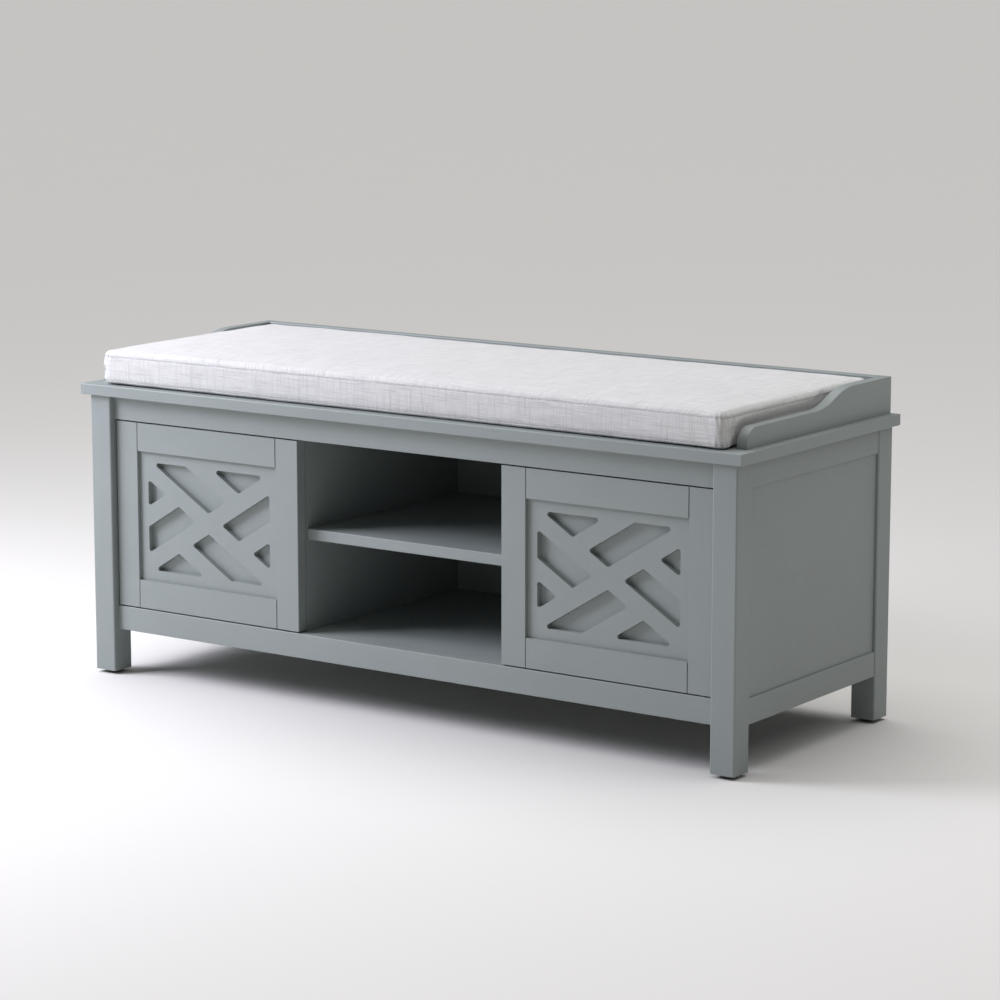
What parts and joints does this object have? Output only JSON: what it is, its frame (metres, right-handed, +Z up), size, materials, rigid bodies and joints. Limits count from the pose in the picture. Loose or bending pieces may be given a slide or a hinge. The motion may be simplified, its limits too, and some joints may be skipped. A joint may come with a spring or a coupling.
{
  "type": "entryway storage bench",
  "caption": "Low painted storage bench with lattice doors either side of an open bay with a shelf, low scrolled arms and a fabric seat cushion.",
  "frame": {"origin": "on the floor under the middle of the top board", "axes": "+X to the right along the bench, +Y to the back, +Z up"},
  "size_m": [1.143, 0.43, 0.491],
  "materials": {
    "painted_wood": "satin blue-grey lacquer on smooth wood board",
    "linen_fabric": "plain-woven linen-look cover, pale grey with lighter slubs",
    "glide_plastic": "moulded black plastic",
    "nylon": "moulded black nylon",
    "zinc_steel": "zinc-plated steel",
    "bare_beech": "turned bare beech"
  },
  "bodies": {
    "frame": {"arm_left": "painted_wood", "arm_right": "painted_wood", "arm_screws": "zinc_steel", "back_board": "painted_wood", "back_panel": "painted_wood", "bottom_cleat_front": "painted_wood", "bottom_cleat_rear": "painted_wood", "bottom_panel": "painted_wood", "cam_bolts": "zinc_steel", "cam_locks": "zinc_steel", "divider_left": "painted_wood", "divider_right": "painted_wood", "foot_glide_front_left": "glide_plastic", "foot_glide_front_right": "glide_plastic", "foot_glide_rear_left": "glide_plastic", "foot_glide_rear_right": "glide_plastic", "front_apron": "painted_wood", "front_bottom_rail": "painted_wood", "latch_housing_left": "nylon", "latch_housing_right": "nylon", "latch_screws": "zinc_steel", "latch_springs": "zinc_steel", "pivot_bushes": "nylon", "post_front_left": "painted_wood", "post_front_right": "painted_wood", "post_rear_left": "painted_wood", "post_rear_right": "painted_wood", "rear_bottom_rail": "painted_wood", "rear_top_rail": "painted_wood", "shelf": "painted_wood", "shelf_pins": "zinc_steel", "side_bottom_rail_left": "painted_wood", "side_bottom_rail_right": "painted_wood", "side_panel_left": "painted_wood", "side_panel_right": "painted_wood", "side_top_rail_left": "painted_wood", "side_top_rail_right": "painted_wood", "top_board": "painted_wood", "top_board_screws": "zinc_steel", "wood_dowels": "bare_beech"},
    "door_left": {"door_backing_panel_left": "painted_wood", "door_bottom_rail_left": "painted_wood", "door_free_stile_left": "painted_wood", "door_hinge_stile_left": "painted_wood", "door_lattice_panel_left": "painted_wood", "door_pivot_pins_left": "zinc_steel", "door_strike_plate_left": "zinc_steel", "door_top_rail_left": "painted_wood"},
    "door_right": {"door_backing_panel_right": "painted_wood", "door_bottom_rail_right": "painted_wood", "door_free_stile_right": "painted_wood", "door_hinge_stile_right": "painted_wood", "door_lattice_panel_right": "painted_wood", "door_pivot_pins_right": "zinc_steel", "door_strike_plate_right": "zinc_steel", "door_top_rail_right": "painted_wood"},
    "plunger_left": {"latch_plunger_left": "zinc_steel"},
    "plunger_right": {"latch_plunger_right": "zinc_steel"},
    "cushion": {"cushion": "linen_fabric"}
  },
  "joints": [
    {"name": "door_hinge_left", "type": "hinge", "parent": "frame", "child": "door_left", "pos_m": [-0.504, -0.188, 0.1045], "axis": [0, 0, -1], "range_deg": [0, 110]},
    {"name": "door_hinge_right", "type": "hinge", "parent": "frame", "child": "door_right", "pos_m": [0.504, -0.188, 0.1045], "axis": [0, 0, 1], "range_deg": [0, 110]},
    {"name": "latch_push_left", "type": "slide", "parent": "frame", "child": "plunger_left", "axis": [0, 1, 0], "range_m": [0, 0.003], "stiffness_N_per_m": 400, "springref_m": -0.003},
    {"name": "latch_push_right", "type": "slide", "parent": "frame", "child": "plunger_right", "axis": [0, 1, 0], "range_m": [0, 0.003], "stiffness_N_per_m": 400, "springref_m": -0.003},
    {"name": "cushion_lift", "type": "slide", "parent": "frame", "child": "cushion", "axis": [0, 0, 1], "range_m": [0, 0.2]}
  ]
}
